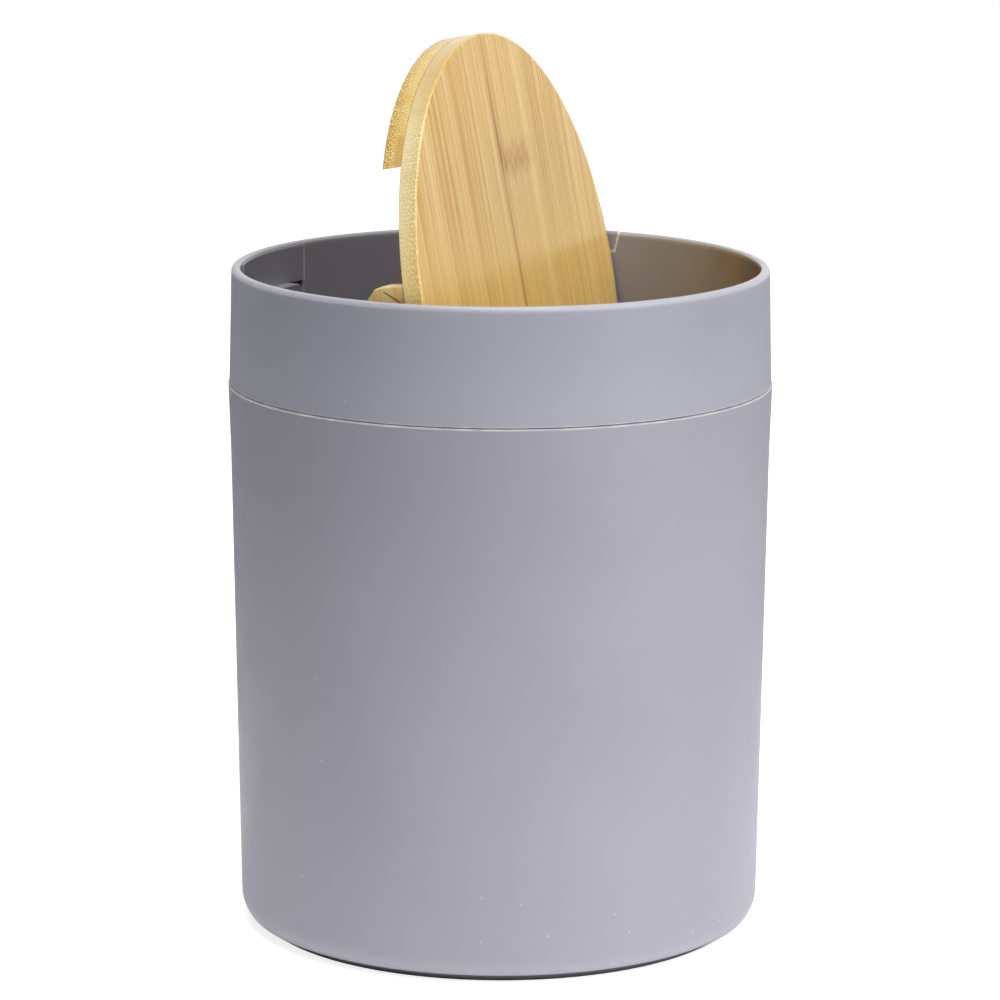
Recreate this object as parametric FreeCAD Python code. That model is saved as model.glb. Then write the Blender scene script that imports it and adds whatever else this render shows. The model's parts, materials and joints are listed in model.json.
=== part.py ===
"""A small round trash can: a moulded bucket, a lift-off collar and a bamboo swing lid, in millimetres.

The origin is on the floor under the middle of the bin and +Z is up. The lid turns about an axis along X.
Its front half (-Y) is pushed down, and the rear half (+Y), which carries the counterweight, then rises.
"""
import FreeCAD, Part
import math
import os

Vector = FreeCAD.Vector

# Bucket
bucket_height = 198.3
bucket_top_radius = 97.5
bucket_taper = 3.0
bucket_wall = 2.4
bucket_floor = 2.6
base_round_height = 6.8
base_round_depth = 2.3
foot_bevel_height = 3.2
foot_bevel_depth = 4.8
foot_ring_width = 4.0
foot_recess = 2.0
inner_corner_radius = 5.0
bead_proud = 0.4
bead_round = 0.5
bead_swell_height = 24.0

# Collar
collar_height = 41.7
collar_draft = 1.0
seat_clearance = 0.1
shadow_groove_height = 0.3
shadow_groove_depth = 1.2
spigot_length = 16.0
spigot_clearance = 0.3
spigot_wall = 1.4
spigot_lead_in = 0.8
rim_outer_round = 1.7
rim_inner_round = 1.2

# Lid board
lid_gap = 1.0
lid_recess = 0.65
disc_thickness = 6.8
disc_top_round = 0.8
disc_under_round = 0.3
lid_open_angle = 79.1

# Counterweight
counterweight_thickness = 7.0
counterweight_chord_share = 0.587
counterweight_ease = 0.4

# Pivot blocks and pins
pivot_drop = 2.3
block_half_width = 15.6
block_depth = 16.0
block_inset = 1.7
block_ease = 0.4
block_outline_shares = [(0.955, 0.0), (1.0, 0.43), (0.975, 0.67), (0.635, 1.0)]
pin_radius = 1.5
pin_grip = 5.2
pin_fit = 0.02
pin_running_clearance = 0.05
pin_end_play = 0.25
bearing_depth = 2.2

# Pivot keepers
keeper_half_width_top = 12.4
keeper_half_width_bottom = 10.5
keeper_thickness = 1.6
keeper_fit = 0.08
keeper_play = 0.25
keeper_relief_half_width = 8.6
keeper_relief_height = 0.8

# Closing ledge and its pad on the rear wall, by half angles
pad_thickness = 0.5
pad_half_angle = 17.0
pad_top_drop = 1.4
ledge_half_angle = 10.9
ledge_reach = 5.6
ledge_thickness = 1.1
ledge_clearance = 0.15
window_start_angle = 11.1
window_end_angle = 16.3
window_height = 2.2
window_depth = 2.0

# Opening stops on the side walls
stop_clearance = 0.3
stop_thickness = 4.0
stop_length = 12.0
stop_reach = 6.0
stop_sweep_gap = 2.0

# Wood screws
screw_radius = 1.25
screw_head_radius = 2.4
screw_head_height = 1.3
screw_tip_height = 2.0
screw_grip = 4.0
screw_fit = 0.05
screw_slot_width = 0.7
screw_slot_depth = 0.8
screw_slot_reach_share = 0.65
block_screw_sink = 3.0
block_screw_offset_share = 0.32
counterweight_screw_sink = 0.2
counterweight_screw_x_shares = [-0.5, 0.0, 0.5]
counterweight_screw_y_shares = [0.3, 0.55, 0.3]

# Every cut runs this far past the faces it opens
overrun = 1.0


# Places worked out from the sizes above
rim_height = bucket_height + collar_height
seat_height = bucket_height + seat_clearance
base_height = foot_bevel_height + base_round_height
bucket_base_radius = bucket_top_radius - bucket_taper
wall_slope = bucket_taper / (bucket_height - base_height)
edge_radius = bucket_base_radius - base_round_depth
foot_radius = edge_radius - foot_bevel_depth
floor_top = foot_recess + bucket_floor


def outer_wall_radius(height):
    """The bucket's straight outer wall at a height."""
    return bucket_base_radius + wall_slope * (height - base_height)


spigot_bottom = seat_height - spigot_length
spigot_radius = outer_wall_radius(spigot_bottom) - bucket_wall - spigot_clearance
collar_inner_radius = spigot_radius - spigot_wall
rim_radius = bucket_top_radius - collar_draft

lid_radius = collar_inner_radius - lid_gap
counterweight_chord = lid_radius * counterweight_chord_share
lid_top = rim_height - lid_recess
lid_underside = lid_top - disc_thickness
pivot_height = lid_underside - pivot_drop
counterweight_underside = lid_underside - counterweight_thickness
block_underside = lid_underside - block_depth
block_outer_end = lid_radius - block_inset
block_length = disc_thickness
block_inner_end = block_outer_end - block_length
block_sweep = math.hypot(block_half_width, block_depth - pivot_drop)
pivot = Vector(0, 0, pivot_height)

keeper_bottom = pivot_height + pin_radius + keeper_play
pocket_radius = collar_inner_radius + keeper_thickness
bearing_radius = collar_inner_radius + bearing_depth
bearing_half_width = pin_radius + pin_running_clearance
ledge_top = counterweight_underside - ledge_clearance
stop_top = block_sweep + stop_sweep_gap

SIDES = {"left": -1, "right": 1}


def arc_points(start, end):
    """Start, middle and end of an arc that is upright at its upper end and bulges out to its lower start."""
    depth = end[0] - start[0]
    height = end[1] - start[1]
    turn = 2 * math.atan2(depth, height)
    radius = height / math.sin(turn)
    middle = (end[0] - radius * (1 - math.cos(turn / 2)), end[1] - radius * math.sin(turn / 2))
    return start, middle, end


def corner_arc(centre, radius, start_angle, end_angle):
    """Start, middle and end of an arc about a centre, by angles in degrees from the outward direction."""
    angles = (start_angle, (start_angle + end_angle) / 2, end_angle)
    return [(centre[0] + radius * math.cos(math.radians(a)), centre[1] + radius * math.sin(math.radians(a)))
            for a in angles]


def profile_edge(points):
    """A line through two (radius, height) points, or an arc through three."""
    ends = [Vector(radius, 0, height) for radius, height in points]
    if len(ends) == 3:
        return Part.Arc(*ends).toShape()
    return Part.LineSegment(*ends).toShape()


def turned(runs):
    """A solid turned about Z: each run is a line or an arc, and lines close the gaps between runs."""
    edges = []
    for run, following in zip(runs, runs[1:] + runs[:1]):
        if len(run) > 1:
            edges.append(profile_edge(run))
        if run[-1] != following[0]:
            edges.append(profile_edge([run[-1], following[0]]))
    return Part.Face(Part.Wire(edges)).revolve(Vector(0, 0, 0), Vector(0, 0, 1), 360)


def upright_cylinder(radius, bottom, top):
    return Part.makeCylinder(radius, top - bottom, Vector(0, 0, bottom))


def box_between(low, high):
    return Part.makeBox(high[0] - low[0], high[1] - low[1], high[2] - low[2], Vector(*low))


def rear_ring_piece(inner, outer, bottom, top, from_angle, to_angle):
    """A piece of a ring on the rear wall, between two angles counted from +Y."""
    sweep = to_angle - from_angle
    piece = Part.makeCylinder(outer, top - bottom, Vector(0, 0, bottom), Vector(0, 0, 1), sweep)
    piece.rotate(Vector(0, 0, 0), Vector(0, 0, 1), 90 + from_angle)
    return piece.cut(upright_cylinder(inner, bottom - overrun, top + overrun))


def side_box(side, inner, outer, half_width, bottom, top):
    """A box across the X axis on one side of the bin, between two distances from the middle."""
    near, far = sorted((side * inner, side * outer))
    return box_between((near, -half_width, bottom), (far, half_width, top))


def make_bucket():
    top_inner = outer_wall_radius(bucket_height) - bucket_wall
    corner_height = floor_top + inner_corner_radius
    inner_foot = outer_wall_radius(corner_height) - bucket_wall
    corner_centre = (inner_foot - inner_corner_radius, corner_height)
    ring_inner = foot_radius - foot_ring_width
    swell_start = bucket_height - bead_swell_height
    bead_radius = bucket_top_radius + bead_proud
    bead_centre = (bead_radius - bead_round, bucket_height - bead_round)
    return turned([
        [(0, foot_recess)],
        [(ring_inner, foot_recess)],
        [(ring_inner, 0)],
        [(foot_radius, 0)],
        arc_points((edge_radius, foot_bevel_height), (bucket_base_radius, base_height)),
        [(outer_wall_radius(swell_start), swell_start)],
        corner_arc(bead_centre, bead_round, 0, 90),
        [(top_inner, bucket_height)],
        corner_arc(corner_centre, inner_corner_radius, 0, -90),
        [(0, floor_top)],
    ])


def make_collar_ring():
    """The collar as turned, before its pad, ledge, stops, pockets and bearings."""
    outer_round_centre = (rim_radius - rim_outer_round, rim_height - rim_outer_round)
    inner_round_centre = (collar_inner_radius + rim_inner_round, rim_height - rim_inner_round)
    groove_radius = bucket_top_radius - shadow_groove_depth
    groove_top = seat_height + shadow_groove_height
    return turned([
        [(collar_inner_radius, spigot_bottom)],
        [(spigot_radius - spigot_lead_in, spigot_bottom)],
        [(spigot_radius, spigot_bottom + spigot_lead_in)],
        [(spigot_radius, seat_height)],
        [(groove_radius, seat_height)],
        [(groove_radius, groove_top)],
        [(bucket_top_radius, groove_top)],
        corner_arc(outer_round_centre, rim_outer_round, 0, 90),
        corner_arc(inner_round_centre, rim_inner_round, 90, 180),
    ])


def make_closing_ledge():
    """The pad on the rear wall and the ledge at its foot, where the closed counterweight rests."""
    root_radius = collar_inner_radius + overrun
    pad = rear_ring_piece(collar_inner_radius - pad_thickness, root_radius,
                          ledge_top, rim_height - pad_top_drop, -pad_half_angle, pad_half_angle)
    ledge = rear_ring_piece(collar_inner_radius - ledge_reach, root_radius,
                            ledge_top - ledge_thickness, ledge_top, -ledge_half_angle, ledge_half_angle)
    return pad.fuse(ledge)


def make_windows():
    """The recesses in the wall beside both ends of the ledge, under the pad."""
    low_radius = collar_inner_radius - overrun
    high_radius = collar_inner_radius + window_depth
    spans = [(-window_end_angle, -window_start_angle), (window_start_angle, window_end_angle)]
    return [rear_ring_piece(low_radius, high_radius, ledge_top - window_height, ledge_top, start, end)
            for start, end in spans]


def make_opening_stop(side):
    """A rib on a side wall that the underside of the open board leans on, cut to the collar's wall."""
    rib = side_box(side, collar_inner_radius - stop_reach, collar_inner_radius + overrun, stop_length / 2,
                   lid_underside - stop_clearance - stop_thickness, lid_underside - stop_clearance)
    rib.translate(Vector(0, -stop_top - stop_length / 2, 0))
    rib.rotate(pivot, Vector(1, 0, 0), lid_open_angle)
    return rib.common(upright_cylinder(collar_inner_radius + overrun / 2, spigot_bottom, rim_height))


def keeper_prism(side, fit, top):
    """The tapered outline of a keeper, drawn in by a fit and run through the wall."""
    taper = (keeper_half_width_top - keeper_half_width_bottom) / (rim_height - keeper_bottom)
    top_half = keeper_half_width_bottom + taper * (top - keeper_bottom) - fit
    bottom_half = keeper_half_width_bottom - fit
    bottom = keeper_bottom + fit
    outline = [(-bottom_half, bottom), (bottom_half, bottom), (top_half, top), (-top_half, top)]
    start = side * (collar_inner_radius - keeper_thickness)
    corners = [Vector(start, across, height) for across, height in outline]
    face = Part.Face(Part.makePolygon(corners + corners[:1]))
    prism = face.extrude(Vector(side * 3 * keeper_thickness, 0, 0))
    return prism.common(upright_cylinder(pocket_radius - fit, pivot_height - pin_radius, top + overrun))


def make_bearing_cuts(side):
    """The pocket of a keeper, the relief under it and the round-bottomed notch for a pin."""
    inner = collar_inner_radius - overrun
    relief_bottom = keeper_bottom - keeper_relief_height
    pocket_limit = upright_cylinder(pocket_radius, pivot_height - pin_radius, rim_height + overrun)
    bearing_limit = upright_cylinder(bearing_radius, pivot_height - block_half_width, rim_height)
    relief = side_box(side, inner, bearing_radius, keeper_relief_half_width,
                      relief_bottom, keeper_bottom + overrun)
    slot = side_box(side, inner, bearing_radius, bearing_half_width, pivot_height, keeper_bottom)
    round_end = Part.makeCylinder(bearing_half_width, bearing_radius, pivot, Vector(side, 0, 0))
    round_end = round_end.cut(upright_cylinder(inner, 0, rim_height + overrun))
    notch = slot.fuse(round_end).common(bearing_limit)
    return [keeper_prism(side, 0, rim_height + overrun), relief.common(pocket_limit), notch]


def make_collar():
    stops = [make_opening_stop(side) for side in SIDES.values()]
    collar = make_collar_ring().fuse([make_closing_ledge()] + stops)
    cuts = make_windows()
    for side in SIDES.values():
        cuts += make_bearing_cuts(side)
    return collar.cut(cuts).removeSplitter()


def make_keeper(side):
    """A keeper, flush with the collar's inner wall and rim."""
    return keeper_prism(side, keeper_fit, rim_height + overrun).common(make_collar_ring())


def screw_outline(length, fit):
    """The turned outline of a countersunk wood screw that points up, from the rim of its head to its tip."""
    return [
        [(screw_head_radius + fit, 0)],
        [(screw_radius + fit, screw_head_height)],
        [(screw_radius + fit, length - screw_tip_height)],
        [(0, length + fit)],
    ]


def make_screw(length):
    return turned([[(0, 0)]] + screw_outline(length, 0)).cut(make_cross_slot())


def make_screw_hole(length, sink):
    """The hole of a screw whose head's face lies a sink below the surface."""
    mouth = [[(0, -sink - overrun)], [(screw_head_radius + screw_fit, -sink - overrun)]]
    return turned(mouth + screw_outline(length, screw_fit))


def make_cross_slot():
    """The cross in a screw's head."""
    reach = screw_head_radius * screw_slot_reach_share
    half = screw_slot_width / 2
    bar = box_between((-reach, -half, -overrun), (reach, half, screw_slot_depth))
    across = bar.copy()
    across.rotate(Vector(0, 0, 0), Vector(0, 0, 1), 90)
    return bar.fuse(across)


def block_screw_places():
    """Where the head's face of each block screw is, in the closed lid."""
    offset = block_half_width * block_screw_offset_share
    middle = (block_inner_end + block_outer_end) / 2
    return [Vector(side * middle, y, block_underside + block_screw_sink)
            for side in SIDES.values() for y in (-offset, offset)]


def counterweight_screw_places():
    """Where the head's face of each counterweight screw is, in the closed lid."""
    shares = zip(counterweight_screw_x_shares, counterweight_screw_y_shares)
    return [Vector(lid_radius * x, counterweight_chord + (lid_radius - counterweight_chord) * y,
                   counterweight_underside + counterweight_screw_sink) for x, y in shares]


def screw_length(place):
    """Long enough to grip the board."""
    return lid_underside + screw_grip - place.z


def placed(shape, place):
    shape.translate(place)
    return shape


def screws_at(places):
    return Part.makeCompound([placed(make_screw(screw_length(place)), place) for place in places])


def screw_holes_at(places, sink):
    return [placed(make_screw_hole(screw_length(place), sink), place) for place in places]


def block_screw_holes():
    return screw_holes_at(block_screw_places(), block_screw_sink)


def counterweight_screw_holes():
    return screw_holes_at(counterweight_screw_places(), counterweight_screw_sink)


def make_disc():
    top_centre = (lid_radius - disc_top_round, lid_top - disc_top_round)
    low_centre = (lid_radius - disc_under_round, lid_underside + disc_under_round)
    top_round = corner_arc(top_centre, disc_top_round, 0, 90)
    low_round = corner_arc(low_centre, disc_under_round, -90, 0)
    disc = turned([[(0, lid_underside)], low_round, top_round, [(0, lid_top)]])
    return disc.cut(block_screw_holes() + counterweight_screw_holes())


def make_counterweight():
    """The circle segment under the rear half, with its lower round edge eased."""
    segment = turned([
        [(0, counterweight_underside)],
        [(lid_radius - counterweight_ease, counterweight_underside)],
        [(lid_radius, counterweight_underside + counterweight_ease)],
        [(lid_radius, lid_underside)],
        [(0, lid_underside)],
    ])
    reach = lid_radius + overrun
    front = box_between((-reach, -reach, counterweight_underside - overrun),
                        (reach, counterweight_chord, lid_underside + overrun))
    return segment.cut([front] + counterweight_screw_holes())


def make_block(side):
    """A bevelled block under the board, bored for its pin from the outer end."""
    rear = [(block_half_width * across, lid_underside - block_depth * down)
            for across, down in block_outline_shares]
    outline = rear + [(-y, z) for y, z in reversed(rear)]
    corners = [Vector(side * block_inner_end, y, z) for y, z in outline]
    block = Part.Face(Part.makePolygon(corners + corners[:1])).extrude(Vector(side * block_length, 0, 0))
    free_edges = [edge for edge in block.Edges if edge.BoundBox.ZMin < lid_underside - block_ease]
    block = block.makeChamfer(block_ease, free_edges)
    bore_depth = pin_grip + pin_end_play
    bore = Part.makeCylinder(pin_radius + pin_fit, bore_depth + overrun,
                             Vector(side * (block_outer_end + overrun), 0, pivot_height), Vector(-side, 0, 0))
    return block.cut([bore] + block_screw_holes())


def make_pin(side):
    inner_end = block_outer_end - pin_grip
    length = bearing_radius - pin_end_play - inner_end
    start = Vector(side * inner_end, 0, pivot_height)
    return Part.makeCylinder(pin_radius, length, start, Vector(side, 0, 0))


def opened(shape):
    """A piece of the closed lid, swung to the open pose."""
    swung = shape.copy()
    swung.rotate(pivot, Vector(1, 0, 0), lid_open_angle)
    return swung


def make_pieces():
    pieces = {"bucket": make_bucket(), "collar": make_collar()}
    lid = {"lid_disc": make_disc(), "counterweight": make_counterweight()}
    for name, side in SIDES.items():
        pieces["pivot_keeper_" + name] = make_keeper(side)
        lid["pivot_block_" + name] = make_block(side)
        lid["pivot_pin_" + name] = make_pin(side)
    lid["block_screws"] = screws_at(block_screw_places())
    lid["counterweight_screws"] = screws_at(counterweight_screw_places())
    pieces.update({name: opened(shape) for name, shape in lid.items()})
    return pieces


os.makedirs("parts", exist_ok=True)
for node, shape in make_pieces().items():
    shape.exportStep("parts/" + node + ".step")
    state = "valid" if shape.isValid() else "INVALID"
    print(node, len(shape.Solids), "solid(s)", round(shape.Volume, 1), "mm3", state)
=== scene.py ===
# %% [markdown]
# A small swing-lid trash can, dressed in Blender.
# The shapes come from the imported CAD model: a grey moulded bucket, a grey collar that sits on it, and a
# bamboo lid that swings on two pins. They could be modelled again here, but the CAD meshes already have
# the real fits, so this lesson keeps them and puts its work into finishes, light and camera.

# %% Load the CAD model
import json
import math

import bpy
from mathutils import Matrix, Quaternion, Vector


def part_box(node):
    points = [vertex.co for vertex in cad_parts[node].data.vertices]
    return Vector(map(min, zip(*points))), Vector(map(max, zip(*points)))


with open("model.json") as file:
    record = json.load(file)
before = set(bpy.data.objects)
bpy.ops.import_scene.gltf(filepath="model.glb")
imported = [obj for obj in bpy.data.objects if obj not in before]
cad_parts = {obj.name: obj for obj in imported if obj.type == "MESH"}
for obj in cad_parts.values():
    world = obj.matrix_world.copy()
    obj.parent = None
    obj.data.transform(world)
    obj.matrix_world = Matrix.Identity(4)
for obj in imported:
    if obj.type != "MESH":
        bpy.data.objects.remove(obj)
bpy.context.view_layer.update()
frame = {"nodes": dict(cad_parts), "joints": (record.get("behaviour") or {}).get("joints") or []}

# %% [markdown]
# The finishes need to know where things are: the seam between bucket and collar, the rim, the collar's
# inner wall, and the axis that the lid turns on. These could be typed in again, but reading them from the
# frame keeps one source of truth. Only the gap around the lid is given here.

# %% Measure the places that the finishes follow
mm = 0.001
lid_gap = 1.2 * mm
seam_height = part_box("bucket")[1].z
rim_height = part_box("collar")[1].z
inner_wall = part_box("lid_disc")[1].x + lid_gap
lid_joint = next(joint for joint in frame["joints"] if joint["name"] == "lid_swing")
pivot = Vector(lid_joint["pos_m"])
open_angle = -math.radians(lid_joint["range_deg"][0])
print("seam at", round(seam_height, 4), "rim at", round(rim_height, 4), "pivot at", round(pivot.z, 4))

# %% [markdown]
# Every finish is a small network of nodes. Three helpers keep the recipes readable: one adds a node and
# wires its inputs, one does arithmetic, and one turns everyday 0 to 255 colours into Blender's linear
# ones.


# %% Helpers for building finishes
def add(tree, kind, inputs=(), **settings):
    """Adds a node; a socket given as an input is linked, anything else becomes the input's value."""
    node = tree.nodes.new("ShaderNode" + kind)
    for name, value in settings.items():
        setattr(node, name, value)
    for name, value in dict(inputs).items():
        if isinstance(value, bpy.types.NodeSocket):
            tree.links.new(value, node.inputs[name])
        else:
            node.inputs[name].default_value = value
    return node


def maths(tree, operation, *values):
    node = add(tree, "Math", dict(enumerate(values)), operation=operation)
    return node.outputs[0]


def paint(red, green, blue):
    """An everyday colour as Blender's linear one."""
    shares = [channel / 255 for channel in (red, green, blue)]
    return [s / 12.92 if s <= 0.04045 else ((s + 0.055) / 1.055) ** 2.4 for s in shares] + [1.0]


print("mid grey is", [round(v, 3) for v in paint(163, 161, 173)])

# %% [markdown]
# Textures also need a few everyday moves: a smooth step from one value to another, a noise with a given
# grain size, a blend of two colours, and a new material to put them in. Noise mostly keeps between two
# middle values, so a step between those stretches it to full contrast.

# %% Helpers for textures
noise_span = (0.3, 0.7)


def ease(tree, value, low, high, to_low=0.0, to_high=1.0):
    """A smooth step: to_low where value is at low, to_high where it is at high."""
    node = add(tree, "MapRange", {"Value": value, "From Min": low, "From Max": high,
                                  "To Min": to_low, "To Max": to_high}, interpolation_type="SMOOTHSTEP")
    return node.outputs["Result"]


def noise(tree, vector, scale, detail=2.0, roughness=0.5):
    node = add(tree, "TexNoise", {"Vector": vector, "Scale": scale, "Detail": detail, "Roughness": roughness})
    return node.outputs["Fac"]


def blend(tree, share, first, second):
    """A share of the second colour over the first."""
    node = add(tree, "Mix", data_type="RGBA")
    for socket, value in ((node.inputs[0], share), (node.inputs[6], first), (node.inputs[7], second)):
        if isinstance(value, bpy.types.NodeSocket):
            tree.links.new(value, socket)
        else:
            socket.default_value = value
    return node.outputs[2]


def new_finish(name):
    """A material with its shader and the piece's own coordinates, in metres."""
    material = bpy.data.materials.new(name)
    material.use_nodes = True
    tree = material.node_tree
    return material, tree, tree.nodes["Principled BSDF"], add(tree, "TexCoord")


print("texture helpers ready, noise keeps between", *noise_span)

# %% [markdown]
# The bucket is moulded grey plastic with a satin skin. Up close such a skin isn't one flat tone: it is
# faintly cloudy, its gloss wanders, and it has a very fine grain. A photograph of plastic could be
# wrapped around it, but noise needs no seam: a broad one drives the cloudiness, a finer one the gloss,
# and the finest a shallow bump.

# %% Satin moulded plastic
clouds_per_metre = 14.0
smears_per_metre = 55.0
grains_per_metre = 2600.0
grain_strength = 0.06
grain_depth = 0.2 * mm
plastic_shine = 0.45


def moulded_plastic(name, light_tone, dark_tone, low_gloss, high_gloss):
    """A satin plastic whose colour is left open, so that wear and painted light can still be laid over it."""
    material, tree, shader, places = new_finish(name)
    here = places.outputs["Object"]
    clouds = noise(tree, here, clouds_per_metre, 4.0)
    colour = blend(tree, ease(tree, clouds, *noise_span), dark_tone, light_tone)
    smears = noise(tree, here, smears_per_metre, 3.0)
    gloss = ease(tree, smears, *noise_span, low_gloss, high_gloss)
    tree.links.new(gloss, shader.inputs["Roughness"])
    grain = noise(tree, here, grains_per_metre)
    bump = add(tree, "Bump", {"Strength": grain_strength, "Distance": grain_depth, "Height": grain})
    tree.links.new(bump.outputs["Normal"], shader.inputs["Normal"])
    shader.inputs["Specular IOR Level"].default_value = plastic_shine
    return material, tree, shader, here, colour


print("plastic grain:", round(1 / grains_per_metre / mm, 2), "mm")

# %% [markdown]
# Plastic in use gathers pale dust and is rubbed pale where it is touched. Each speck of dust is the
# middle of a cell of a Voronoi pattern, and only the few cells with a high random shade get one. Rubbing
# is a pale tone broken up by noise, laid on by an amount that each piece works out for its own edges; the
# same pale tone also paints highlights where edges catch the light.

# %% Dust, rubbing and painted highlights
specks_per_metre = 200.0
speck_reach, speck_core = 0.13, 0.04
speck_strength = 0.5
dust_tone = paint(214, 213, 218)
pale_patches_per_metre = 160.0
pale_patch_span = (0.38, 0.6)
# The same pale tone serves rubbing and painted highlights.
wear_and_highlight_tone = paint(234, 232, 232)


def dusted(tree, here, colour, clean):
    """A few pale specks, in those Voronoi cells whose random shade is above clean."""
    cells = add(tree, "TexVoronoi", {"Vector": here, "Scale": specks_per_metre})
    tint = add(tree, "SeparateColor", {"Color": cells.outputs["Color"]})
    rare = maths(tree, "GREATER_THAN", tint.outputs["Red"], clean)
    speck = ease(tree, cells.outputs["Distance"], speck_reach, speck_core, to_high=speck_strength)
    return blend(tree, maths(tree, "MULTIPLY", speck, rare), colour, dust_tone)


def pale_wear_and_highlight(tree, here, colour, amount, low_share):
    """Colour made pale by an amount, unevenly, for rubbing and for painted highlights: low_share of it is
    left where the pale patches are least.
    """
    pale_patches = ease(tree, noise(tree, here, pale_patches_per_metre, 3.0), *pale_patch_span, to_low=low_share)
    return blend(tree, maths(tree, "MULTIPLY", amount, pale_patches), colour, wear_and_highlight_tone)


print("dust specks up to", round(2 * speck_reach / specks_per_metre / mm, 1), "mm")

# %% [markdown]
# The bucket's top edge is a thin bead that catches the light from above. Its bright line is a painted
# highlight: an uneven pale line, strongest towards the back. The round above the foot gets a faint painted
# highlight too, dust lies near the floor, the bevel under the foot is painted dark as shade, and just below
# the seam the skin is painted a trace darker as shade, most towards the back. A painted mask could carry
# all this; here each place is a band of heights or depths, from where it starts to where it is full, which
# is shorter and stays true if the bucket's size changes.

# %% The bucket's finish
bucket_light, bucket_dark = paint(165, 163, 175), paint(160, 158, 170)
# Painted shade: the tone just below the seam.
seam_shade_tone = paint(154, 152, 164)
# Painted shade: the dark tone of the foot bevel.
foot_shade_tone = paint(92, 90, 100)
seam_shade_band, seam_shade_side = (seam_height - 80 * mm, seam_height - 10 * mm), (-75 * mm, -35 * mm)
bead_band, bead_side = (seam_height - 0.8 * mm, seam_height - 0.4 * mm), (-40 * mm, 60 * mm)
base_band = (8.5 * mm, 4 * mm)
dust_band = (20 * mm, 90 * mm)
foot_shade_band = (3.4 * mm, 3 * mm)

bucket_finish, tree, shader, here, colour = moulded_plastic(
    "satin_grey_bucket", bucket_light, bucket_dark, low_gloss=0.40, high_gloss=0.50)
spot = add(tree, "SeparateXYZ", {"Vector": here})
height, backwards = spot.outputs["Z"], spot.outputs["Y"]
# Painted shade: a trace darker just below the seam, most towards the back.
seam_shade = maths(tree, "MULTIPLY", ease(tree, height, *seam_shade_band, to_high=0.6),
                ease(tree, backwards, *seam_shade_side, to_low=0.1))
colour = blend(tree, seam_shade, colour, seam_shade_tone)
# Painted highlight: the bead's bright line, uneven and strongest towards the back.
bead_highlight = maths(tree, "MULTIPLY", ease(tree, height, *bead_band),
                ease(tree, backwards, *bead_side, to_low=0.48))
# Painted highlight: a faint pale band on the round above the foot.
base_highlight = ease(tree, height, *base_band, to_high=0.12)
highlight_and_wear = maths(tree, "MAXIMUM", bead_highlight, base_highlight)
colour = dusted(tree, here, colour, ease(tree, height, *dust_band, to_low=0.88, to_high=0.99))
colour = pale_wear_and_highlight(tree, here, colour, highlight_and_wear, 0.6)
# Painted shade: the bevel under the foot is made dark.
colour = blend(tree, ease(tree, height, *foot_shade_band), colour, foot_shade_tone)
tree.links.new(colour, shader.inputs["Base Color"])
print("bucket finish:", len(tree.nodes), "nodes")

# %% [markdown]
# The collar comes from another mould: its grey is a touch bluer. Low down it is painted paler, as painted
# light from below. The core that shaped its inside was polished, so the inner wall mirrors the bamboo
# softly while the outside stays satin. Two materials could do that, but the mesh is one piece, so how far
# a point lies from the bin's middle tells the two apart.

# %% The collar's gloss and tone
# The last of these three is painted light: the paler tone low down.
collar_light, collar_dark, collar_lit_tone = paint(164, 164, 177), paint(160, 160, 172), paint(174, 174, 187)
wall_skin = 0.4 * mm
lit_low_band = (rim_height - 6 * mm, seam_height + 4 * mm)
polish = 0.4

collar_finish, tree, shader, here, colour = moulded_plastic(
    "satin_grey_collar", collar_light, collar_dark, low_gloss=0.34, high_gloss=0.44)
spot = add(tree, "SeparateXYZ", {"Vector": here})
sideways, backwards, height = spot.outputs["X"], spot.outputs["Y"], spot.outputs["Z"]
level = add(tree, "CombineXYZ", {"X": sideways, "Y": backwards})
from_middle = add(tree, "VectorMath", {0: level.outputs[0]}, operation="LENGTH").outputs["Value"]
is_inside = ease(tree, from_middle, inner_wall + wall_skin, inner_wall)
satin = shader.inputs["Roughness"].links[0].from_socket
polished = maths(tree, "MULTIPLY", satin, polish)
tree.links.new(add(tree, "Mix", {0: is_inside, 2: satin, 3: polished}).outputs[0], shader.inputs["Roughness"])
# Painted light: paler low down.
colour = blend(tree, ease(tree, height, *lit_low_band, to_high=0.5), colour, collar_lit_tone)
print("inner wall at", round(inner_wall / mm, 2), "mm from the middle")

# %% [markdown]
# The front of the inner wall is painted brown as the lid's reflection and the shade it lies in, with a
# ragged border: noise is added to the place before the step. The rim gets an even painted highlight, the
# lower edge a thin painted highlight, and the ends of the rear pad pale lines. The ends of the pad are found
# by their angle around the bin.

# %% The collar's painted reflection and highlights
# Painted reflection: the brown of the lid mirrored on the front inner wall, in shade.
lid_reflection_tone = paint(112, 90, 66)
# Painted highlight: the rim's pale tone.
rim_highlight_tone = paint(230, 229, 234)
reflection_noise_per_metre = 70.0
reflection_raggedness = 24 * mm
lid_reflection_band = (-28 * mm, -76 * mm)
rim_highlight_band = (rim_height - 2.6 * mm, rim_height - 1 * mm)
edge_highlight_band = (seam_height + 0.9 * mm, seam_height + 0.5 * mm)
outer_band = (inner_wall + 1.8 * mm, inner_wall + 2.4 * mm)
pad_end = math.radians(17.0)
pad_end_band = (0.008, 0.003)
clean_collar = 0.99

# Painted reflection and shade: brown on the front of the inner wall, with a ragged border.
reflection_noise = noise(tree, here, reflection_noise_per_metre, 3.0)
reflection_reach = maths(tree, "MULTIPLY_ADD", reflection_noise, reflection_raggedness, backwards)
lid_reflection = maths(tree, "MULTIPLY", is_inside, ease(tree, reflection_reach, *lid_reflection_band))
colour = blend(tree, lid_reflection, colour, lid_reflection_tone)
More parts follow.
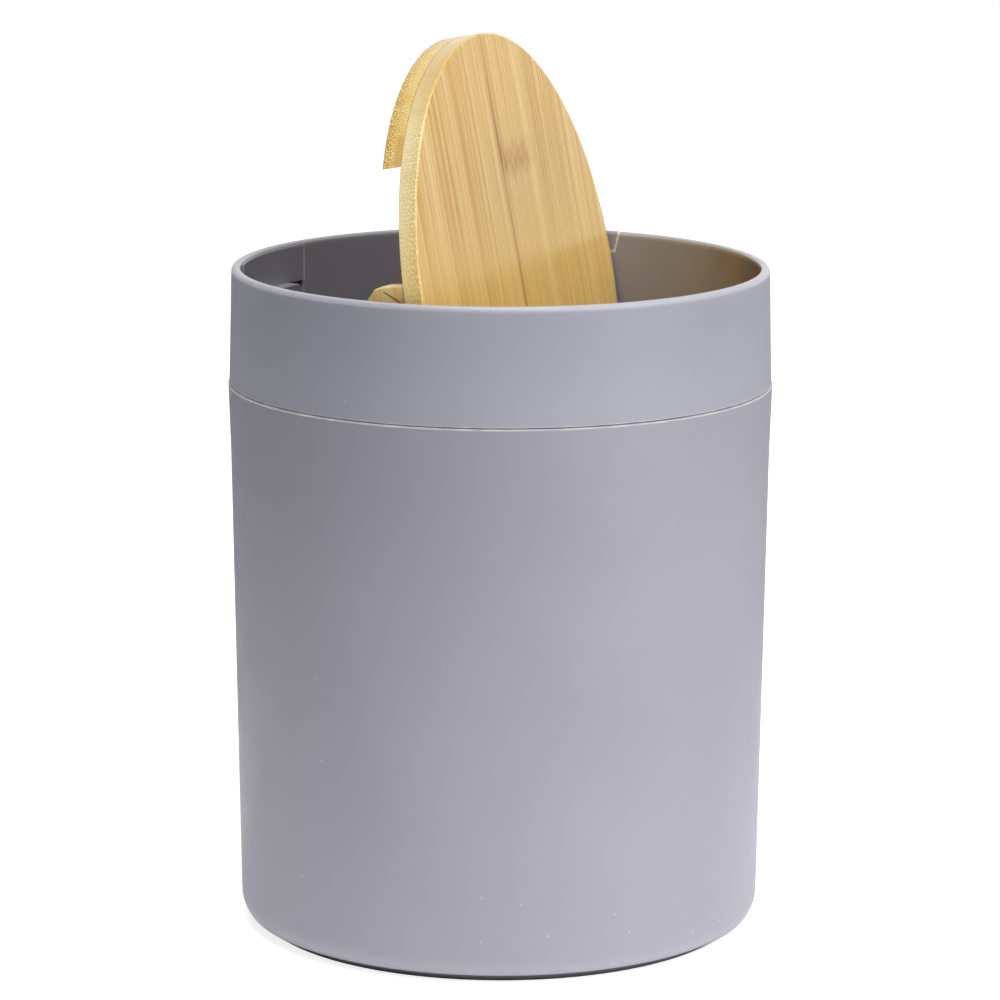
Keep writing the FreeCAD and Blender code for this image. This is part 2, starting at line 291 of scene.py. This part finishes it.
# Painted highlight: an even pale band along the rim.
colour = blend(tree, ease(tree, height, *rim_highlight_band, to_high=0.32), colour, rim_highlight_tone)
turned = maths(tree, "ABSOLUTE", maths(tree, "ARCTAN2", sideways, backwards))
at_pad_end = ease(tree, maths(tree, "ABSOLUTE", maths(tree, "SUBTRACT", turned, pad_end)), *pad_end_band)
on_pad = maths(tree, "MULTIPLY", at_pad_end, ease(tree, from_middle, inner_wall, inner_wall - wall_skin))
# Painted highlight: a thin pale line along the collar's lower edge.
edge_highlight = maths(tree, "MULTIPLY", ease(tree, from_middle, *outer_band),
                ease(tree, height, *edge_highlight_band, to_high=0.6))
highlight_and_wear = maths(tree, "MAXIMUM", edge_highlight, on_pad)
colour = pale_wear_and_highlight(tree, here, dusted(tree, here, colour, clean_collar), highlight_and_wear, 0.5)
tree.links.new(colour, shader.inputs["Base Color"])
print("collar finish:", len(tree.nodes), "nodes")

# %% [markdown]
# The keepers close the pivots' notches. Cut from the same grey plastic, they have pale, ragged edges
# where the cutter left a burr. The burr could be modelled, but it is thinner than a hair, so it is a
# colour. It follows the slanted outline: how far across the piece a point lies, compared with the width
# there, and how far it lies above the lower end.

# %% The keepers' finish
keeper_light, keeper_dark = paint(164, 164, 177), paint(158, 158, 170)
keeper_taper = 1.9 * mm
burrs_per_metre = 900.0
burr_raggedness = 2 * mm
burr_band = (1.2 * mm, 0.7 * mm)

keeper_finish, tree, shader, here, colour = moulded_plastic(
    "burred_grey_keeper", keeper_light, keeper_dark, low_gloss=0.2, high_gloss=0.3)
keeper_low, keeper_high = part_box("pivot_keeper_right")
spot = add(tree, "SeparateXYZ", {"Vector": here})
half_here = add(tree, "MapRange", {
    "Value": spot.outputs["Z"], "From Min": keeper_low.z, "From Max": keeper_high.z,
    "To Min": keeper_high.y - keeper_taper, "To Max": keeper_high.y}).outputs["Result"]
from_side = maths(tree, "SUBTRACT", half_here, maths(tree, "ABSOLUTE", spot.outputs["Y"]))
from_edge = maths(tree, "MINIMUM", from_side, maths(tree, "SUBTRACT", spot.outputs["Z"], keeper_low.z))
ragged = maths(tree, "MULTIPLY_ADD", noise(tree, here, burrs_per_metre), burr_raggedness,
               maths(tree, "SUBTRACT", from_edge, burr_raggedness / 2))
colour = pale_wear_and_highlight(tree, here, colour, ease(tree, ragged, *burr_band), 0.8)
tree.links.new(colour, shader.inputs["Base Color"])
print("keeper finish:", len(tree.nodes), "nodes")

# %% [markdown]
# Bamboo is a solid bundle of fibres, so its texture is solid too. It is worked out in the lid's own
# directions, in millimetres: along the swing axis, up the lid along the fibres, and through the board.
# One pattern that hardly changes along the fibres then shows as long streaks on the face, with no seam at
# the edge. From here on the bamboo's own sizes are in millimetres.

# %% Directions of the lid
mm_per_metre = 1000.0


def lid_places(tree, places):
    """A place in the lid, in millimetres from the pivot axis: whole, across, along the fibres and through."""
    laid_flat = add(tree, "VectorRotate", {"Vector": places.outputs["Object"], "Center": pivot,
                                           "Angle": -open_angle}, rotation_type="X_AXIS")
    in_mm = add(tree, "Mapping", {"Vector": laid_flat.outputs[0], "Scale": [mm_per_metre] * 3,
                                  "Location": (0.0, 0.0, -mm_per_metre * pivot.z)}).outputs[0]
    parts = add(tree, "SeparateXYZ", {"Vector": in_mm})
    return in_mm, parts.outputs["X"], parts.outputs["Y"], parts.outputs["Z"]


def facing_through(tree, places):
    """How far a surface faces through the board: 1 on its faces, 0 on its edge."""
    turned = add(tree, "VectorRotate", {"Vector": places.outputs["Normal"], "Angle": -open_angle},
                 rotation_type="X_AXIS")
    return maths(tree, "ABSOLUTE", add(tree, "SeparateXYZ", {"Vector": turned.outputs[0]}).outputs["Z"])


print("lid directions set, open by", round(math.degrees(open_angle), 1), "degrees")

# %% [markdown]
# On a face, the grain is broad streaks a few millimetres wide and fine streaks of about one. Both are one
# noise, squeezed until it hardly changes along the fibres. The streaks sway a little, as a cane does,
# because a slow noise shifts them sideways. The lacquer over them is a thin satin one, whose gloss and
# surface follow the fine streaks.

# %% Streaks and lacquer
sway, sway_per_mm = 1.2, 0.012
drawing_out = 0.006
broad_per_mm, fine_per_mm = 0.2, 0.95
streak_span = (0.34, 0.66)
lacquer_strength = 0.06
lacquer_depth = 0.2 * mm


def bamboo_streaks(tree, across, along, through, seed):
    """Broad and fine streaks, each from 0 to 1."""
    drift = add(tree, "CombineXYZ", {"X": maths(tree, "MULTIPLY", along, sway_per_mm), "Y": seed}).outputs[0]
    drawn_out = add(tree, "CombineXYZ", {
        "X": maths(tree, "MULTIPLY_ADD", noise(tree, drift, 1.0), sway, across),
        "Y": maths(tree, "ADD", through, seed),
        "Z": maths(tree, "MULTIPLY", along, drawing_out)}).outputs[0]
    broad = ease(tree, noise(tree, drawn_out, broad_per_mm), *streak_span)
    fine = ease(tree, noise(tree, drawn_out, fine_per_mm, 1.5, 0.6), *streak_span)
    return broad, fine


def mixed_streaks(tree, broad, fine, broad_share):
    return maths(tree, "MULTIPLY_ADD", broad, broad_share, maths(tree, "MULTIPLY", fine, 1.0 - broad_share))


def lacquer(tree, shader, wood, fine, low_gloss, high_gloss):
    """Wood colour under a thin satin lacquer."""
    tree.links.new(wood, shader.inputs["Base Color"])
    tree.links.new(ease(tree, fine, 0.0, 1.0, low_gloss, high_gloss), shader.inputs["Roughness"])
    bump = add(tree, "Bump", {"Strength": lacquer_strength, "Distance": lacquer_depth, "Height": fine})
    tree.links.new(bump.outputs["Normal"], shader.inputs["Normal"])


print("fine streaks:", round(1 / fine_per_mm, 2), "mm")

# %% [markdown]
# On a sawn edge, the dark fibre bundles show as dots. They are the cells of a flat Voronoi pattern, laid
# out by the way around the rim and the depth in the board. Towards the sides the cut runs along the
# fibres, so the dots are drawn out there: part of the way around is counted straight across. Bundles
# crowd together towards what was the outer skin of the cane, so their size follows the depth.

# %% Fibre bundles
around_share, across_share, depth_share = 32.0, 0.35, 1.3
bundles_per_mm = 1.4
bundle_scatter = 0.65
sparse_reach, crowded_reach = 0.18, 0.40
bundle_border = (-0.1, 0.06)


def fibre_bundles(tree, across, along, through, seed, crowded_at, sparse_at):
    """Fibre bundles cut end-on, from 0 to 1, crowded at one depth and sparse at another."""
    around = maths(tree, "MULTIPLY_ADD", maths(tree, "ARCTAN2", across, along), around_share,
                   maths(tree, "MULTIPLY", across, across_share))
    deep = maths(tree, "MULTIPLY", maths(tree, "ADD", through, seed), depth_share)
    end_on = add(tree, "CombineXYZ", {"X": around, "Y": deep}).outputs[0]
    cells = add(tree, "TexVoronoi", {"Vector": end_on, "Scale": bundles_per_mm, "Randomness": bundle_scatter},
                voronoi_dimensions="2D")
    reach = ease(tree, through, sparse_at, crowded_at, sparse_reach, crowded_reach)
    return ease(tree, maths(tree, "SUBTRACT", reach, cells.outputs["Distance"]), *bundle_border)


print("bundles:", round(1 / bundles_per_mm, 2), "mm apart")

# %% [markdown]
# The board is pressed from flat strips. Each strip has its own tone, and dark glue lines part them. An
# image could hold the strips, but a short list of their edges, with the change of tone at each, is easier
# to alter: every edge that lies to one side of a point adds its change. One glue line is far darker than
# the rest.

# %% Strips of the board
strip_edges = {-77.0: 0.1, -58.5: -0.2, -42.0: 0.2, -33.0: -0.3, -18.5: 0.32, 0.0: 0.1, 33.0: -0.24,
               44.6: 0.22, 55.0: -0.12, 67.0: 0.3}
glue_strengths = {-58.5: 0.14, -42.0: 0.12, -18.5: 0.14, 0.0: 0.95, 33.0: 0.16, 44.6: 0.14, 55.0: 0.1}
faint_glue = 0.08
glue_band = (1.7, 0.2)
first_tone = 0.5


def strip_tones(tree, across):
    """The tone of the strip that a point lies in, around a half, and the darkness of the glue lines."""
    tone, glue = first_tone, 0.0
    for edge, step in strip_edges.items():
        beyond = maths(tree, "GREATER_THAN", across, edge)
        tone = maths(tree, "MULTIPLY_ADD", beyond, step, tone)
        off = maths(tree, "ABSOLUTE", maths(tree, "SUBTRACT", across, edge))
        strength = glue_strengths.get(edge, faint_glue)
        glue = maths(tree, "MAXIMUM", glue, ease(tree, off, *glue_band, to_high=strength))
    return tone, glue


print("strips:", len(strip_edges) + 1)

# %% [markdown]
# Where a strip crosses a knuckle of the cane there is a band of fine dark streaks with ragged ends, and a
# paler smear below it. Short separate marks would soon look like writing, so the streaks run on through
# the band, a slow noise bends it, and a quick one makes its ends ragged.

# %% Knuckles of the board
knuckles = [(0.4, 32.5, 46.0), (-41.5, -33.5, -38.0), (55.5, 66.5, -52.0)]
knuckle_start, knuckle_fade = 0.6, 9.0
knuckle_bend, knuckle_rag = 10.0, 8.0
knuckle_band = (9.0, 1.5)
smear_top, smear_bottom = (2.0, -5.0), (-16.0, -9.0)
knuckle_span = (0.42, 0.62)


def stretched_noise(tree, place, scale, detail=2.0):
    return noise(tree, add(tree, "Mapping", {"Vector": place, "Scale": scale}).outputs[0], 1.0, detail)


def knuckle_marks(tree, place, across, along):
    """Fine dark streaks in a band across a strip, and the paler smear that hangs below them."""
    streaks = ease(tree, stretched_noise(tree, place, (1.05, 0.17, 0.0), 1.0), *knuckle_span, to_low=0.2)
    smears = ease(tree, stretched_noise(tree, place, (0.8, 0.05, 0.3), 1.0), *knuckle_span)
    bend = stretched_noise(tree, place, (0.16, 0.0, 0.0))
    rag = stretched_noise(tree, place, (0.85, 0.0, 0.0))
    dark, pale = 0.0, 0.0
    for left, right, middle in knuckles:
        inside = maths(tree, "MULTIPLY", ease(tree, across, left, left + knuckle_start),
                       ease(tree, across, right, right - knuckle_fade))
        above = maths(tree, "SUBTRACT", along, middle + (knuckle_bend + knuckle_rag) / 2)
        above = maths(tree, "MULTIPLY_ADD", bend, knuckle_bend, above)
        above = maths(tree, "MULTIPLY_ADD", rag, knuckle_rag, above)
        near = ease(tree, maths(tree, "ABSOLUTE", above), *knuckle_band)
        below = maths(tree, "MULTIPLY", ease(tree, above, *smear_bottom), ease(tree, above, *smear_top))
        dark = maths(tree, "MULTIPLY_ADD", inside, near, dark)
        pale = maths(tree, "MULTIPLY_ADD", inside, below, pale)
    return maths(tree, "MULTIPLY", dark, streaks), maths(tree, "MULTIPLY", pale, smears)


print("knuckles:", len(knuckles))

# %% [markdown]
# The lid's board puts these together. Its face is honey coloured and streaky, with a few dark hairs, and low
# down it is painted warmer, as painted light bounced warm between the board and the collar. The face gets
# its tone from the strip and the streaks at once, so that no strip looks painted on.

# %% The face of the board
honey_dark, honey_light = paint(208, 161, 76), paint(242, 208, 136)
warm_bounce_tone = paint(250, 208, 114)
hair_tone = paint(176, 122, 50)
board_seed = 3.0
tone_share, tone_start = 0.5, -0.24
warm_bounce_band = (42.0, 8.0)
hairs_per_mm, hair_drawing_out = 1.2, 0.01
hair_span = (0.58, 0.68)

board_finish, tree, shader, places = new_finish("bamboo_board")
place, across, along, through = lid_places(tree, places)
broad, fine = bamboo_streaks(tree, across, along, through, board_seed)
tone, glue = strip_tones(tree, across)
streaks = mixed_streaks(tree, broad, fine, 0.3)
warmth = maths(tree, "MULTIPLY_ADD", tone, tone_share, maths(tree, "ADD", streaks, tone_start))
face = blend(tree, warmth, honey_dark, honey_light)
# Painted light: warmer low down, as light bounced between board and collar.
face = blend(tree, ease(tree, along, *warm_bounce_band, to_high=0.5), face, warm_bounce_tone)
hair_place = add(tree, "CombineXYZ", {"X": across, "Z": maths(tree, "MULTIPLY", along, hair_drawing_out)})
hairs = ease(tree, noise(tree, hair_place.outputs[0], hairs_per_mm, 1.0), *hair_span, to_high=0.34)
face = blend(tree, hairs, face, hair_tone)
print("board's face:", len(tree.nodes), "nodes")

# %% [markdown]
# The sanded edge of the board is paler than its face, and there the bundles show. The turn from face to
# edge comes from the surface's own direction. Glue lines and knuckles go through the whole board, so they
# are laid over both. The dark glue line is weaker near the top of the lid and on its lower half.

# %% The edge of the board
edge_low_tone, edge_high_tone = paint(252, 220, 146), paint(253, 238, 186)
edge_top_tone = paint(225, 193, 127)
fibre_tone = paint(212, 164, 46)
glue_tone = paint(152, 92, 4)
smear_tone, knuckle_tone = paint(230, 200, 146), paint(176, 110, 4)
edge_rise, edge_top = (0.0, 60.0), (62.0, 86.0)
edge_turn = (0.92, 0.6)
crowded_depth, sparse_depth = 9.0, 3.0
glue_upper, glue_lower = (92.0, 45.0), (36.0, 48.0)

edge = blend(tree, ease(tree, along, *edge_rise), edge_low_tone, edge_high_tone)
edge = blend(tree, ease(tree, along, *edge_top, to_high=0.9), edge, edge_top_tone)
is_edge = ease(tree, facing_through(tree, places), *edge_turn)
wood = blend(tree, is_edge, face, edge)
bundles = fibre_bundles(tree, across, along, through, board_seed, crowded_depth, sparse_depth)
wood = blend(tree, maths(tree, "MULTIPLY", bundles, maths(tree, "MULTIPLY", is_edge, 0.6)), wood, fibre_tone)
fading = maths(tree, "MULTIPLY", ease(tree, along, *glue_upper, to_low=0.5),
               ease(tree, along, *glue_lower, to_low=0.58))
wood = blend(tree, maths(tree, "MULTIPLY", glue, fading), wood, glue_tone)
dark, pale = knuckle_marks(tree, place, across, along)
wood = blend(tree, maths(tree, "MULTIPLY", pale, 0.4), wood, smear_tone)
wood = blend(tree, maths(tree, "MULTIPLY", dark, 0.72), wood, knuckle_tone)
lacquer(tree, shader, wood, fine, low_gloss=0.2, high_gloss=0.28)
print("board finish:", len(tree.nodes), "nodes")

# %% [markdown]
# The counterweight is cut from the same kind of board, turned over: its crowded side is underneath. It is
# a little yellower, and next to its straight edge a warm, darker patch of painted shade lies along the glue
# joint. It could share the board's finish, but its own seed and tones keep the two from looking like one
# piece.

# %% The counterweight's finish
weight_face_dark, weight_face_light = paint(196, 154, 88), paint(222, 186, 122)
weight_edge_dark, weight_edge_light = paint(242, 206, 122), paint(252, 226, 150)
weight_fibre_tone = paint(172, 120, 26)
# Painted shade: the warm, darker tone along the joint.
joint_shade_tone = paint(212, 160, 84)
weight_seed = 40.0
weight_edge_turn = (0.75, 0.35)
crowded_depth, sparse_depth = -4.6, 1.8
chord_band, joint_band = (64.6, 63.4), (-1.0, 0.2)

counterweight_finish, tree, shader, places = new_finish("bamboo_counterweight")
_, across, along, through = lid_places(tree, places)
broad, fine = bamboo_streaks(tree, across, along, through, weight_seed)
streaks = mixed_streaks(tree, broad, fine, 0.5)
face = blend(tree, streaks, weight_face_dark, weight_face_light)
edge = blend(tree, streaks, weight_edge_dark, weight_edge_light)
wood = blend(tree, ease(tree, facing_through(tree, places), *weight_edge_turn), face, edge)
bundles = fibre_bundles(tree, across, along, through, weight_seed, crowded_depth, sparse_depth)
wood = blend(tree, maths(tree, "MULTIPLY", bundles, 0.8), wood, weight_fibre_tone)
# Painted shade: a warm, darker patch by the straight edge, along the joint.
joint_shade = maths(tree, "MULTIPLY", ease(tree, along, *chord_band), ease(tree, through, *joint_band))
wood = blend(tree, maths(tree, "MULTIPLY", joint_shade, 0.55), wood, joint_shade_tone)
lacquer(tree, shader, wood, fine, low_gloss=0.34, high_gloss=0.44)
print("counterweight finish:", len(tree.nodes), "nodes")

# %% [markdown]
# The pivot blocks are small offcuts, redder than the board and glued up from two pieces: a dark slanting
# line shows on their ends. The line could be a groove, but it looks flush on the real block, so it is
# painted where a tilted plane cuts through.

# %% The blocks' finish
block_dark, block_light = paint(252, 200, 112), paint(255, 232, 164)
block_fibre_tone = paint(208, 144, 72)
block_glue_tone = paint(104, 62, 30)
block_seed = 77.0
crowded_depth, sparse_depth = -12.0, 2.0
slant_along, slant_through, slant_offset = 0.762, 0.647, -7.24
slant_band, slant_end = (0.5, 0.15), (14.6, 13.0)

block_finish, tree, shader, places = new_finish("bamboo_block")
_, across, along, through = lid_places(tree, places)
broad, fine = bamboo_streaks(tree, across, along, through, block_seed)
wood = blend(tree, mixed_streaks(tree, broad, fine, 0.6), block_dark, block_light)
bundles = fibre_bundles(tree, across, along, through, block_seed, crowded_depth, sparse_depth)
wood = blend(tree, maths(tree, "MULTIPLY", bundles, 0.2), wood, block_fibre_tone)
slant = maths(tree, "MULTIPLY_ADD", along, slant_along,
              maths(tree, "MULTIPLY_ADD", through, slant_through, slant_offset))
glue_line = maths(tree, "MULTIPLY", ease(tree, maths(tree, "ABSOLUTE", slant), *slant_band, to_high=0.75),
                  ease(tree, along, *slant_end))
wood = blend(tree, glue_line, wood, block_glue_tone)
lacquer(tree, shader, wood, fine, low_gloss=0.44, high_gloss=0.56)
print("block finish:", len(tree.nodes), "nodes")

# %% [markdown]
# Pins and screws are plain drawn steel. It has fine scratches along its length and a patchy brightness. A
# noise squeezed across the pins drives the gloss and a shallow bump, and a broader noise the brightness.

# %% The steel finish
steel_dark, steel_light = paint(176, 176, 178), paint(206, 206, 207)
scratches_per_metre = (300.0, 4000.0, 4000.0)
patches_per_metre = 260.0
scratch_strength = 0.1
scratch_depth = 0.1 * mm

steel_finish, tree, shader, places = new_finish("drawn_steel")
scratches = stretched_noise(tree, places.outputs["Object"], scratches_per_metre, 3.0)
patches = noise(tree, places.outputs["Object"], patches_per_metre)
tree.links.new(blend(tree, patches, steel_dark, steel_light), shader.inputs["Base Color"])
tree.links.new(ease(tree, scratches, *noise_span, to_low=0.24, to_high=0.4), shader.inputs["Roughness"])
bump = add(tree, "Bump", {"Strength": scratch_strength, "Distance": scratch_depth, "Height": scratches})
tree.links.new(bump.outputs["Normal"], shader.inputs["Normal"])
shader.inputs["Metallic"].default_value = 1.0
print("steel finish:", len(tree.nodes), "nodes")

# %% [markdown]
# Now each CAD piece gets its finish. Only the material slot is changed: the meshes and their places stay as
# packed. Left and right pieces share a finish, so the side is taken off the name first.

# %% Dress the pieces
finishes = {
    "bucket": bucket_finish,
    "collar": collar_finish,
    "pivot_keeper": keeper_finish,
    "lid_disc": board_finish,
    "counterweight": counterweight_finish,
    "pivot_block": block_finish,
    "pivot_pin": steel_finish,
    "block_screws": steel_finish,
    "counterweight_screws": steel_finish,
}
for name, piece in frame["nodes"].items():
    kind = name.removesuffix("_left").removesuffix("_right")
    piece.material_slots[0].material = finishes[kind]
print("dressed:", ", ".join(sorted(frame["nodes"])))

# %% [markdown]
# The floor is a plain pale sheet. To read as white it could be lit harder, but that would bleach the bin,
# so it adds a glow that only the camera sees, a little less of it near the bin so that the bin's soft
# shadow stays. Around the foot it also glows to everything else, like a light table: that is what lifts
# the bucket's tone towards the floor.

# %% Floor
sheet_tone = paint(232, 232, 232)
foot_band = (90 * mm, 98 * mm)
shadow_band, shadow_glow = (0.3, 1.0), 0.8
table_glow, table_radius, table_full = 0.64, 0.6, 0.4
white = (1.0, 1.0, 1.0, 1.0)


def pale_sheet(name, size):
    material, tree, shader, places = new_finish(name)
    shader.inputs["Base Color"].default_value = sheet_tone
    shader.inputs["Roughness"].default_value = 0.9
    from_bin = add(tree, "VectorMath", {0: places.outputs["Object"]}, operation="LENGTH").outputs["Value"]
    table = maths(tree, "MULTIPLY", ease(tree, from_bin, *foot_band),
                  ease(tree, from_bin, table_radius, table_full * table_radius, to_high=table_glow))
    to_eye = maths(tree, "MULTIPLY", add(tree, "LightPath").outputs["Is Camera Ray"],
                   ease(tree, from_bin, *shadow_band, to_low=shadow_glow))
    shader.inputs["Emission Color"].default_value = white
    tree.links.new(maths(tree, "MAXIMUM", to_eye, table), shader.inputs["Emission Strength"])
    mesh = bpy.data.meshes.new(name)
    half = size / 2
    corners = [(-half, -half, 0), (half, -half, 0), (half, half, 0), (-half, half, 0)]
    mesh.from_pydata(corners, [], [(0, 1, 2, 3)])
    mesh.materials.append(material)
    sheet = bpy.data.objects.new(name, mesh)
    bpy.context.collection.objects.link(sheet)
    return sheet


floor = pale_sheet("floor", 4.0)
print("floor:", [round(v, 2) for v in floor.dimensions])

# %% [markdown]
# The camera stands in front of the bin's left side, a little above it, with a long lens so that the sides
# stay nearly upright. It could be given a position and three rotations, but an angle around the bin, an
# angle above the floor and a distance say more plainly where it stands. It is rolled by a trace, as a
# hand-held camera is.

# %% Camera
camera_around = math.radians(-68.83)
camera_above = math.radians(11.668)
camera_distance = 1.639
camera_roll = math.radians(0.174)
camera_lens, film_width = 162.83, 36.0
farthest_seen = 60.0
aim = Vector((0.0, 0.0, 0.1538))


def direction(around, above):
    """From the bin towards a place seen at angles around it (0 is the front) and above the floor."""
    level = math.cos(above)
    return Vector((level * math.sin(around), -level * math.cos(around), math.sin(above)))


camera = bpy.data.objects.new("camera", bpy.data.cameras.new("camera"))
bpy.context.collection.objects.link(camera)
camera.data.sensor_width = film_width
camera.data.lens = camera_lens
camera.data.clip_end = farthest_seen
camera.location = aim + camera_distance * direction(camera_around, camera_above)
straight = (aim - camera.location).to_track_quat("-Z", "Y")
camera.rotation_mode = "QUATERNION"
camera.rotation_quaternion = straight @ Quaternion((0.0, 0.0, 1.0), camera_roll)
bpy.context.scene.camera = camera
print("camera at", [round(v, 3) for v in camera.location])

# %% [markdown]
# The light is a plain studio set: a soft box high to the right of the camera does most of the work, a low
# one beside it reaches the lid's face over the rim, a wide one above lights the rims and edges, and a
# weak one on the left keeps the dark side open. One picture of a whole studio could light the bin too,
# but four boxes can be turned up and down one by one.

# %% Lights
lit_middle = Vector((0.0, 0.0, 0.15))


def soft_box(name, around, above, distance, width, height, power):
    """A soft box placed by angles in degrees from the camera's side, facing the middle of the bin."""
    lamp = bpy.data.lights.new(name, "AREA")
    lamp.shape = "RECTANGLE"
    lamp.size = width
    lamp.size_y = height
    lamp.energy = power
    box = bpy.data.objects.new(name, lamp)
    bpy.context.collection.objects.link(box)
    towards_box = direction(camera_around + math.radians(around), math.radians(above))
    box.location = lit_middle + distance * towards_box
    box.rotation_mode = "QUATERNION"
    box.rotation_quaternion = (lit_middle - box.location).to_track_quat("-Z", "Y")


soft_box("key_box", around=45.0, above=32.0, distance=2.0, width=1.2, height=1.2, power=16.0)
soft_box("low_box", around=60.0, above=10.0, distance=2.0, width=1.2, height=0.8, power=7.5)
soft_box("top_box", around=28.0, above=79.0, distance=1.8, width=1.2, height=1.2, power=25.0)
soft_box("fill_box", around=-50.0, above=25.0, distance=2.0, width=1.2, height=1.2, power=3.0)
bpy.context.scene.view_settings.view_transform = "Standard"

# %% [markdown]
# The world behind the floor is white to the eye. Glossy surfaces mirror a bright wall behind the bin,
# which puts the sheen on the lacquered lid and the bright line on the rim; to everything else the world
# is a dim, even light. The kind of ray that asks decides which of these it sees.

# %% World
wall_around = math.radians(185.0)
wall_spread, wall_glow = (0.2, 0.95), 1.1
room_glow = 0.02

world = bpy.data.worlds.new("white_studio")
bpy.context.scene.world = world
world.use_nodes = True
tree = world.node_tree
bright_side = direction(camera_around + wall_around, 0.0)
facing = add(tree, "VectorMath", {0: add(tree, "TexCoord").outputs["Generated"], 1: bright_side},
             operation="DOT_PRODUCT").outputs["Value"]
seen = add(tree, "LightPath")
wall = maths(tree, "MULTIPLY", seen.outputs["Is Glossy Ray"],
             ease(tree, facing, *wall_spread, to_high=wall_glow))
room = tree.nodes["Background"]
room.inputs["Color"].default_value = white
tree.links.new(maths(tree, "ADD", wall, room_glow), room.inputs["Strength"])
backdrop = add(tree, "Background", {"Color": white, "Strength": 1.0})
by_eye = maths(tree, "MAXIMUM", seen.outputs["Is Camera Ray"], seen.outputs["Is Transmission Ray"])
choice = add(tree, "MixShader", {0: by_eye, 1: room.outputs[0], 2: backdrop.outputs[0]})
tree.links.new(choice.outputs[0], tree.nodes["World Output"].inputs["Surface"])
print("bright wall:", [round(v, 2) for v in bright_side])
